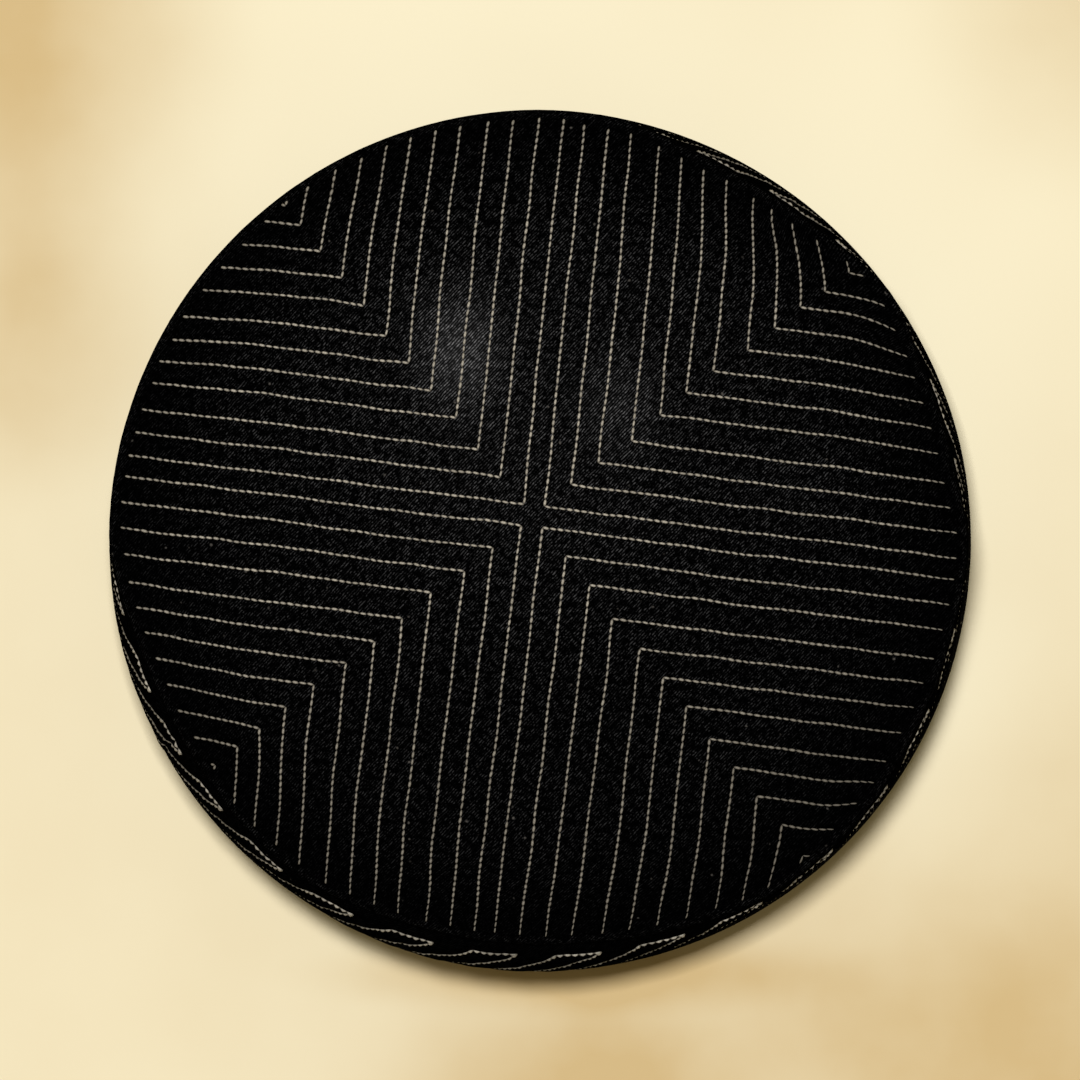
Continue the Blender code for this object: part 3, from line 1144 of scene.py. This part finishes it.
def bead_points(placed, normal, aside, rings, size, lean):
    """Give each stitch's points: its first tip, its rings and its last tip."""
    parts = [placed[0]]
    for index, ring in enumerate(rings[1:-1], start=1):
        middle = placed[index] - aside[index] * (lean * (ring.along - 0.5))[:, None]
        width = size * ring.width
        for turn in np.arange(STITCH_SIDES) * FULL_TURN / STITCH_SIDES:
            wide = (width * math.cos(turn))[:, None] * aside[index]
            high = (width * STITCH_FLATNESS * math.sin(turn))[:, None] * normal[index]
            parts.append(middle + wide + high)
    parts.append(placed[-1])
    return np.stack(parts, axis=1)


def bead_faces(ring_count):
    """Give one stitch's faces, from its first tip over its rings to its last tip."""
    sides = [(side, (side + 1) % STITCH_SIDES) for side in range(STITCH_SIDES)]
    faces = [(0, 1 + on, 1 + side) for side, on in sides]
    for ring in range(ring_count - 1):
        low = 1 + ring * STITCH_SIDES
        high = low + STITCH_SIDES
        faces += [(low + side, low + on, high + on, high + side) for side, on in sides]
    low = 1 + (ring_count - 1) * STITCH_SIDES
    return faces + [(low + side, low + on, low + STITCH_SIDES) for side, on in sides]


def build_stitches(name, cloth, starts, ends, rings, thread, material, seed):
    """Build one thread bead between each pair of needle holes, lying in the cloth's groove."""
    random = np.random.default_rng(seed)
    count = len(starts)
    radius = 0.5 * thread.thickness
    placed, normal, aside = place_rings(cloth, starts, ends, rings, radius)
    lean = math.tan(STITCH_LEAN) * thread.pitch * (1.0 + random.normal(0.0, LEAN_STRAY, count))
    middle = 0.5 * (starts + ends)
    size = radius * random.uniform(*STITCH_SIZES, count) * cloth.thread_width(middle)
    points = bead_points(placed, normal, aside, rings, size, lean)
    per_stitch = points.shape[1]
    faces = bead_faces(len(rings) - 2)
    every = [tuple(stitch * per_stitch + point for point in face)
             for stitch in range(count) for face in faces]
    piece = make_piece(name, points.reshape(-1, 3), every, material)
    add_stitch_maps(piece, count, faces, rings, thread)
    # Each stitch's tone: painted shade across the cap, times a random tone
    tone = cloth.painted_light_tone(middle) * random.uniform(*STITCH_TONES, count)
    add_point_values(piece, "tone", np.repeat(tone, per_stitch))
    return piece


def bead_pattern(faces, rings):
    """Give how far along and how far round a stitch each corner of each of its faces lies."""
    last_tip = 1 + (len(rings) - 2) * STITCH_SIDES
    pattern = []
    for face in faces:
        turns = [(point - 1) % STITCH_SIDES if 0 < point < last_tip else None for point in face]
        known = [turn for turn in turns if turn is not None]
        wraps = max(known) - min(known) > 1
        for point, turn in zip(face, turns):
            if turn is None:
                turn = (max(known) if wraps else min(known)) + 0.5
            elif wraps and turn == 0:
                turn = STITCH_SIDES
            along = rings[1 + (point - 1) // STITCH_SIDES].along
            pattern.append((along, turn / STITCH_SIDES))
    return np.array(pattern)


def add_stitch_maps(piece, count, faces, rings, thread):
    """Map each stitch along and round itself, and give it a cell of its own for baking."""
    pattern = bead_pattern(faces, rings)
    add_corner_map(piece, "thread", np.tile(pattern * np.array([thread.pitch, 1.0]), (count, 1)))
    cells = math.ceil(math.sqrt(count))
    index = np.arange(count)
    cell = np.column_stack((index % cells, index // cells)) / cells
    inset = CELL_MARGIN + (1.0 - 2.0 * CELL_MARGIN) * pattern
    add_corner_map(piece, "OFBake", (cell[:, None, :] + inset[None] / cells).reshape(-1, 2))


class PRAYERCAP_OT_crown_stitches(bpy.types.Operator):
    """Sew the crown's rows"""

    bl_idname = "prayer_cap.crown_stitches"
    bl_label = "Crown's stitches"

    def execute(self, context):
        quilting, thread = context.scene.cap_quilting, context.scene.cap_thread
        starts, ends = needle_holes(crown_rows(quilting), thread.pitch, quilting.seed,
                                    CROWN_HOLE_SEED)
        material = thread_material("cream_thread", thread.light, thread.dark, thread.pitch)
        build_stitches("crown_stitches", crown_cloth(quilting), starts, ends, FULL_STITCH, thread,
                       material, CROWN_STITCH_SEED)
        return {"FINISHED"}


class PRAYERCAP_OT_band_stitches(bpy.types.Operator):
    """Sew the band's long row, in two pieces"""

    bl_idname = "prayer_cap.band_stitches"
    bl_label = "Band's stitches"

    def execute(self, context):
        quilting, thread = context.scene.cap_quilting, context.scene.cap_thread
        cloth = band_cloth(quilting)
        starts, ends = needle_holes(path_arms(band_path(quilting)), thread.pitch,
                                    quilting.seed, BAND_HOLE_SEED)
        material = thread_material("cream_thread", thread.light, thread.dark, thread.pitch)
        half = len(starts) // 2
        build_stitches("band_stitches_a", cloth, starts[:half], ends[:half], PLAIN_STITCH, thread,
                       material, BAND_STITCH_SEED_A)
        build_stitches("band_stitches_b", cloth, starts[half:], ends[half:], PLAIN_STITCH, thread,
                       material, BAND_STITCH_SEED_B)
        return {"FINISHED"}


class PRAYERCAP_OT_hem_stitches(bpy.types.Operator):
    """Sew the hem with black thread"""

    bl_idname = "prayer_cap.hem_stitches"
    bl_label = "Hem's stitches"

    def execute(self, context):
        quilting, thread = context.scene.cap_quilting, context.scene.cap_thread
        starts, ends = needle_holes([hem_arm(quilting)], HEM_PITCH, quilting.seed, HEM_HOLE_SEED)
        material = thread_material("black_thread", thread.hem, thread.hem, thread.pitch)
        build_stitches("hem_stitches", band_cloth(quilting), starts, ends, PLAIN_STITCH, thread,
                       material, HEM_STITCH_SEED)
        return {"FINISHED"}


def set_inputs(tree, node, inputs):
    """Link or set a node's inputs."""
    for key, value in inputs.items():
        if isinstance(value, bpy.types.NodeSocket):
            tree.links.new(value, node.inputs[key])
        else:
            node.inputs[key].default_value = value


def add_node(tree, kind, inputs=None, **settings):
    """Add a node, set it up, and link or set its inputs."""
    node = tree.nodes.new(kind)
    node.location = (NODE_STEP * len(tree.nodes), 0.0)
    for name, value in settings.items():
        setattr(node, name, value)
    set_inputs(tree, node, inputs or {})
    return node


def calculate(tree, operation, first, second=0.0, third=0.0):
    """Add a math node and give its result."""
    return add_node(tree, "ShaderNodeMath", {0: first, 1: second, 2: third},
                    operation=operation).outputs[0]


def product(tree, first, *others):
    """Add math nodes that multiply values, and give the result."""
    for other in others:
        first = calculate(tree, "MULTIPLY", first, other)
    return first


def spread(tree, value, low, high, to_low=0.0, to_high=1.0):
    """Add a node that eases a value from one range to another, and give its result."""
    node = add_node(tree, "ShaderNodeMapRange",
                    {"Value": value, "From Min": low, "From Max": high,
                     "To Min": to_low, "To Max": to_high}, interpolation_type="SMOOTHSTEP")
    return node.outputs["Result"]


def blend_colours(tree, share, first, second):
    """Add a node that mixes two colours, and give its result."""
    return add_node(tree, "ShaderNodeMix", {0: share, 6: first, 7: second},
                    data_type="RGBA").outputs[2]


def opaque(colour):
    """Give a colour with its alpha."""
    return (colour[0], colour[1], colour[2], 1.0)


def start_group(name, inputs, outputs):
    """Start a shader node group with named sockets. Returns the tree and its two end nodes."""
    tree = bpy.data.node_groups.new(name, "ShaderNodeTree")
    for label, kind, value in inputs:
        socket = tree.interface.new_socket(label, in_out="INPUT", socket_type=kind)
        if value is not None:
            socket.default_value = value
    for label, kind in outputs:
        tree.interface.new_socket(label, in_out="OUTPUT", socket_type=kind)
    return tree, tree.nodes.new("NodeGroupInput"), tree.nodes.new("NodeGroupOutput")


def twill_ribs(tree, source):
    """Add the slanted ribs and the yarns that run along them. Returns both as values."""
    back = calculate(tree, "MULTIPLY", source["Turn"], -1.0)
    turned = add_node(tree, "ShaderNodeVectorRotate", {"Vector": source["Vector"], "Angle": back},
                      rotation_type="Z_AXIS").outputs[0]
    parts = add_node(tree, "ShaderNodeSeparateXYZ", {0: turned})
    drift = add_node(tree, "ShaderNodeTexNoise",
                     {"Vector": source["Vector"], "Scale": 300.0, "Detail": 2.0})
    along = calculate(tree, "DIVIDE", parts.outputs[0], source["Rib"])
    across = calculate(tree, "ADD", calculate(tree, "DIVIDE", parts.outputs[1], source["Rib"]),
                       drift.outputs[0])
    wave = calculate(tree, "SINE", product(tree, across, FULL_TURN))
    stretched = add_node(tree, "ShaderNodeCombineXYZ", {0: product(tree, along, 0.75), 1: across})
    yarn = add_node(tree, "ShaderNodeTexNoise",
                    {"Vector": stretched.outputs[0], "Scale": 1.0, "Detail": 2.0,
                     "Roughness": 0.7})
    return spread(tree, wave, -0.35, 1.0), yarn.outputs[0]


def twill_wear_and_sheen(tree, source, rib, grain, wear_and_light):
    """Add how grey the weave is: its grey ribs, in clumps, and a painted sheen, a grey haze, where
    the painted highlights are strongest.
    """
    clumps = add_node(tree, "ShaderNodeTexNoise",
                      {"Vector": source["Vector"], "Scale": 650.0, "Detail": 3.0,
                       "Roughness": 0.65}).outputs[0]
    blotch = spread(tree, clumps, 0.40, 0.62,
                    calculate(tree, "MULTIPLY_ADD", wear_and_light, 0.25, 0.05), 1.2)
    ribs = product(tree, rib, grain, blotch, source["Wear and painted light"])
    # Painted sheen: a grey haze over the strongest painted highlights
    painted_sheen_haze = product(tree, spread(tree, source["Wear and painted light"], 0.55, 1.35, 0.0, 0.20),
                   calculate(tree, "MULTIPLY_ADD", rib, 0.65, 0.35),
                   spread(tree, clumps, 0.30, 0.66, 0.3, 1.4))
    return calculate(tree, "MULTIPLY_ADD", ribs, 0.85, painted_sheen_haze)


def twill_group():
    """Build the twill weave once: slanted ribs, uneven along their length, that wear grey, with a
    painted sheen where its painted highlights are strongest.
    """
    if "Twill weave" in bpy.data.node_groups:
        return bpy.data.node_groups["Twill weave"]
    tree, given, made = start_group(
        "Twill weave",
        (("Vector", "NodeSocketVector", None), ("Rib", "NodeSocketFloat", 0.0005),
         ("Turn", "NodeSocketFloat", 0.8), ("Wear and painted light", "NodeSocketFloat", 0.3),
         ("Evenness", "NodeSocketFloat", 0.0),
         ("Ground", "NodeSocketColor", None), ("Fleck", "NodeSocketColor", None)),
        (("Color", "NodeSocketColor"), ("Height", "NodeSocketFloat")),
    )
    source = given.outputs
    rib, yarn = twill_ribs(tree, source)
    wear_and_light = calculate(tree, "MAXIMUM", spread(tree, source["Wear and painted light"], 0.12, 0.60),
                     source["Evenness"])
    grain = spread(tree, yarn, 0.42, 0.64, product(tree, wear_and_light, 0.16),
                   calculate(tree, "MULTIPLY_ADD", wear_and_light, -0.20, 1.35))
    share = twill_wear_and_sheen(tree, source, rib, grain, wear_and_light)
    set_inputs(tree, made, {
        "Color": blend_colours(tree, share, source["Ground"], source["Fleck"]),
        "Height": calculate(tree, "MULTIPLY_ADD", grain, 0.4, rib)})
    return tree


def lint_group():
    """Build the lint once: a few short pale hairs and specks that cling to cloth and thread."""
    if "Lint" in bpy.data.node_groups:
        return bpy.data.node_groups["Lint"]
    tree, given, made = start_group(
        "Lint",
        (("Vector", "NodeSocketVector", None), ("Color", "NodeSocketColor", None),
         ("Lint", "NodeSocketColor", None), ("Amount", "NodeSocketFloat", 0.5)),
        (("Color", "NodeSocketColor"),),
    )
    source = given.outputs
    bend = add_node(tree, "ShaderNodeTexNoise", {"Vector": source["Vector"], "Scale": 900.0})
    moved = add_node(tree, "ShaderNodeVectorMath", {0: bend.outputs["Color"], 1: (LINT_BEND,) * 3},
                     operation="MULTIPLY")
    place = add_node(tree, "ShaderNodeVectorMath", {0: source["Vector"], 1: moved.outputs[0]},
                     operation="ADD")
    specks = add_node(tree, "ShaderNodeTexVoronoi",
                      {"Vector": place.outputs[0], "Scale": 420.0, "Randomness": 1.0})
    near = spread(tree, specks.outputs["Distance"], 0.16, 0.04)
    picked = add_node(tree, "ShaderNodeSeparateColor", {0: specks.outputs["Color"]})
    rare = spread(tree, picked.outputs[0], 0.90, 0.97)
    share = product(tree, near, rare, source["Amount"])
    set_inputs(tree, made, {"Color": blend_colours(tree, share, source["Color"], source["Lint"])})
    return tree


def thread_group():
    """Build the twisted thread once: plies that wind round it, with painted shade between them and
    towards each stitch's ends.
    """
    if "Twisted thread" in bpy.data.node_groups:
        return bpy.data.node_groups["Twisted thread"]
    tree, given, made = start_group(
        "Twisted thread",
        (("Vector", "NodeSocketVector", None), ("Ply length", "NodeSocketFloat", 0.0005),
         ("Pitch", "NodeSocketFloat", 0.0015), ("Tone", "NodeSocketFloat", 0.5),
         ("Light", "NodeSocketColor", None), ("Dark", "NodeSocketColor", None)),
        (("Color", "NodeSocketColor"), ("Height", "NodeSocketFloat")),
    )
    source = given.outputs
    parts = add_node(tree, "ShaderNodeSeparateXYZ", {0: source["Vector"]})
    turns = calculate(tree, "DIVIDE", parts.outputs[0], source["Ply length"])
    wound = calculate(tree, "ADD", turns, parts.outputs[1])
    wave = calculate(tree, "SINE", product(tree, wound, FULL_TURN))
    ply = calculate(tree, "MULTIPLY_ADD", wave, 0.5, 0.5)
    along = calculate(tree, "DIVIDE", parts.outputs[0], source["Pitch"])
    from_middle = calculate(tree, "ABSOLUTE", calculate(tree, "SUBTRACT", along, 0.5))
    # Painted shade towards the stitch's ends and between the plies
    share = product(tree, spread(tree, from_middle, 0.52, 0.16),
                    calculate(tree, "MULTIPLY_ADD", ply, 0.3, 0.7), source["Tone"])
    set_inputs(tree, made, {
        "Color": blend_colours(tree, share, source["Dark"], source["Light"]), "Height": ply})
    return tree


def use_group(tree, group, inputs):
    """Place a node group in a material with its own values."""
    return add_node(tree, "ShaderNodeGroup", inputs, node_tree=group)


def start_material(name):
    """Start a material. Returns it, its tree and its shader."""
    material = bpy.data.materials.new(name)
    material.use_nodes = True
    return material, material.node_tree, material.node_tree.nodes["Principled BSDF"]


def cloth_material(name, cloth, evenness):
    """Make the black twill."""
    material, tree, shader = start_material(name)
    place = add_node(tree, "ShaderNodeUVMap", uv_map="cloth").outputs[0]
    # The weave's grey from wear, with painted highlights and painted shade
    wear_and_painted_light = add_node(tree, "ShaderNodeAttribute", attribute_name="wear_and_painted_light").outputs["Fac"]
    twill = use_group(tree, twill_group(), {
        "Vector": place, "Rib": cloth.rib, "Turn": TWILL_TURN, "Wear and painted light": wear_and_painted_light,
        "Evenness": evenness, "Ground": opaque(cloth.ground), "Fleck": opaque(cloth.fleck)})
    lint = use_group(tree, lint_group(), {
        "Vector": place, "Color": twill.outputs["Color"], "Lint": LINT_COLOUR,
        "Amount": LINT_AMOUNT})
    bump = add_node(tree, "ShaderNodeBump", {
        "Height": twill.outputs["Height"], "Strength": 0.55, "Distance": TWILL_BUMP})
    set_inputs(tree, shader, {
        "Base Color": lint.outputs["Color"], "Normal": bump.outputs["Normal"],
        "Roughness": 0.6, "Specular IOR Level": 0.0})
    return material


def thread_material(name, light, dark, pitch):
    """Make a twisted thread, or find it if it is there."""
    if name in bpy.data.materials:
        return bpy.data.materials[name]
    material, tree, shader = start_material(name)
    place = add_node(tree, "ShaderNodeUVMap", uv_map="thread").outputs[0]
    # Each stitch's tone, which holds painted shade as well as random tone
    tone = add_node(tree, "ShaderNodeAttribute", attribute_name="tone").outputs["Fac"]
    thread = use_group(tree, thread_group(), {
        "Vector": place, "Ply length": PLY_LENGTH, "Pitch": pitch, "Tone": tone,
        "Light": opaque(light), "Dark": opaque(dark)})
    bump = add_node(tree, "ShaderNodeBump", {
        "Height": thread.outputs["Height"], "Strength": 0.5, "Distance": THREAD_BUMP})
    set_inputs(tree, shader, {
        "Base Color": thread.outputs["Color"], "Normal": bump.outputs["Normal"],
        "Roughness": 0.6, "Specular IOR Level": 0.3})
    return material


def floor_material(stage):
    """Make the pale floor with its soft golden patches of painted shade, darkest towards the
    corners, and a painted golden shadow below the cap.
    """
    material, tree, shader = start_material("pale_floor")
    place = add_node(tree, "ShaderNodeTexCoord").outputs["Object"]
    broad = add_node(tree, "ShaderNodeTexNoise",
                     {"Vector": place, "Scale": 9.0, "Detail": 2.0, "Roughness": 0.5})
    fine = add_node(tree, "ShaderNodeTexNoise",
                    {"Vector": place, "Scale": 260.0, "Detail": 3.0, "Roughness": 0.6})
    share = spread(tree, broad.outputs[0], 0.42, 0.75, 0.0, 0.15)
    # Painted shade: golden patches towards the corners, and a painted shadow tint below the cap
    for patch in FLOOR_PAINTED_SHADE:
        away = add_node(tree, "ShaderNodeVectorMath",
                        {0: place, 1: (patch.x, patch.y, 0.0)}, operation="SUBTRACT").outputs[0]
        away = add_node(tree, "ShaderNodeVectorMath",
                        {0: away, 1: (1.0 / patch.wide, 1.0 / patch.tall, 1.0)},
                        operation="MULTIPLY").outputs[0]
        away = add_node(tree, "ShaderNodeVectorMath", {0: away}, operation="LENGTH").outputs["Value"]
        share = calculate(tree, "ADD", share, spread(tree, away, 1.0, 0.0, 0.0, patch.strength))
    cloud = add_node(tree, "ShaderNodeTexNoise",
                     {"Vector": place, "Scale": 38.0, "Detail": 3.0, "Roughness": 0.5})
    share = product(tree, share, spread(tree, cloud.outputs[0], 0.2, 0.8, 0.88, 1.12))
    colour = blend_colours(tree, share, opaque(stage.floor_light), opaque(stage.floor_dark))
    bump = add_node(tree, "ShaderNodeBump", {
        "Height": fine.outputs[0], "Strength": 0.08, "Distance": FLOOR_BUMP})
    set_inputs(tree, shader, {
        "Base Color": colour, "Normal": bump.outputs["Normal"],
        "Roughness": 0.9, "Specular IOR Level": 0.1})
    return material


def add_key_light(power):
    """Add the square soft light that faces the cap."""
    data = bpy.data.lights.new("key", "AREA")
    data.size = KEY_SIZE
    data.energy = power
    light = bpy.data.objects.new("key", data)
    light.location = KEY_PLACE
    heading = Vector(LIGHT_TARGET) - light.location
    light.rotation_euler = heading.to_track_quat("-Z", "Y").to_euler()
    bpy.context.scene.collection.objects.link(light)


def build_floor(stage):
    """Lay the plain floor that the cap stands on."""
    mesh = bpy.data.meshes.new("floor")
    signs = ((-1.0, -1.0), (1.0, -1.0), (1.0, 1.0), (-1.0, 1.0))
    corners = [(across * FLOOR_HALF, up * FLOOR_HALF, 0.0) for across, up in signs]
    mesh.from_pydata(corners, [], [(0, 1, 2, 3)])
    mesh.materials.append(floor_material(stage))
    floor = bpy.data.objects.new("floor", mesh)
    bpy.context.scene.collection.objects.link(floor)


def set_room(scene, strength):
    """Light the scene softly from all round."""
    world = bpy.data.worlds.new("soft_room")
    world.use_nodes = True
    background = world.node_tree.nodes["Background"]
    background.inputs["Color"].default_value = ROOM_COLOUR
    background.inputs["Strength"].default_value = strength
    scene.world = world


def add_camera(scene, height, view_width):
    """Place the camera above the cap, tilted towards the middle of the floor under it."""
    data = bpy.data.cameras.new("camera")
    data.lens = data.sensor_width * height / view_width
    data.clip_start, data.clip_end = CAMERA_RANGE
    camera = bpy.data.objects.new("camera", data)
    camera.location = (CAMERA_RIGHT, CAMERA_UP, height)
    camera.rotation_euler = (math.atan2(-CAMERA_UP, height), math.atan2(CAMERA_RIGHT, height), 0.0)
    scene.collection.objects.link(camera)
    scene.camera = camera


class PRAYERCAP_OT_stage(bpy.types.Operator):
    """Set the floor, the light and the camera"""

    bl_idname = "prayer_cap.stage"
    bl_label = "Stage"

    def execute(self, context):
        scene = context.scene
        stage = scene.cap_stage
        build_floor(stage)
        add_key_light(stage.key_power)
        set_room(scene, stage.room_light)
        scene.view_settings.view_transform = "Standard"
        add_camera(scene, stage.camera_height, stage.view_width)
        return {"FINISHED"}


class PRAYERCAP_PT_sidebar(bpy.types.Panel):
    """List the cap's pieces and their sizes"""

    bl_label = "Prayer cap"
    bl_idname = "PRAYERCAP_PT_sidebar"
    bl_space_type = "VIEW_3D"
    bl_region_type = "UI"
    bl_category = "Prayer cap"

    def draw(self, context):
        for operator in OPERATORS:
            self.layout.operator(operator.bl_idname)
        for group in SETTINGS:
            settings = getattr(context.scene, group)
            box = self.layout.box()
            for name in settings.__annotations__:
                box.prop(settings, name)


OPERATORS = (
    PRAYERCAP_OT_stage,
    PRAYERCAP_OT_crown,
    PRAYERCAP_OT_band,
    PRAYERCAP_OT_crown_stitches,
    PRAYERCAP_OT_band_stitches,
    PRAYERCAP_OT_hem_stitches,
)
SETTINGS = {
    "cap_quilting": CapQuilting,
    "cap_thread": CapThread,
    "cap_cloth": CapCloth,
    "cap_stage": CapStage,
}


def register():
    for name, settings in SETTINGS.items():
        bpy.utils.register_class(settings)
        setattr(bpy.types.Scene, name, bpy.props.PointerProperty(type=settings))
    for operator in OPERATORS:
        bpy.utils.register_class(operator)
    bpy.utils.register_class(PRAYERCAP_PT_sidebar)


def unregister():
    bpy.utils.unregister_class(PRAYERCAP_PT_sidebar)
    for operator in reversed(OPERATORS):
        bpy.utils.unregister_class(operator)
    for name, settings in SETTINGS.items():
        delattr(bpy.types.Scene, name)
        bpy.utils.unregister_class(settings)


def main():
    register()
    bpy.ops.prayer_cap.stage()
    bpy.ops.prayer_cap.crown()
    bpy.ops.prayer_cap.band()
    bpy.ops.prayer_cap.crown_stitches()
    bpy.ops.prayer_cap.band_stitches()
    bpy.ops.prayer_cap.hem_stitches()


if __name__ == "__main__":
    main()
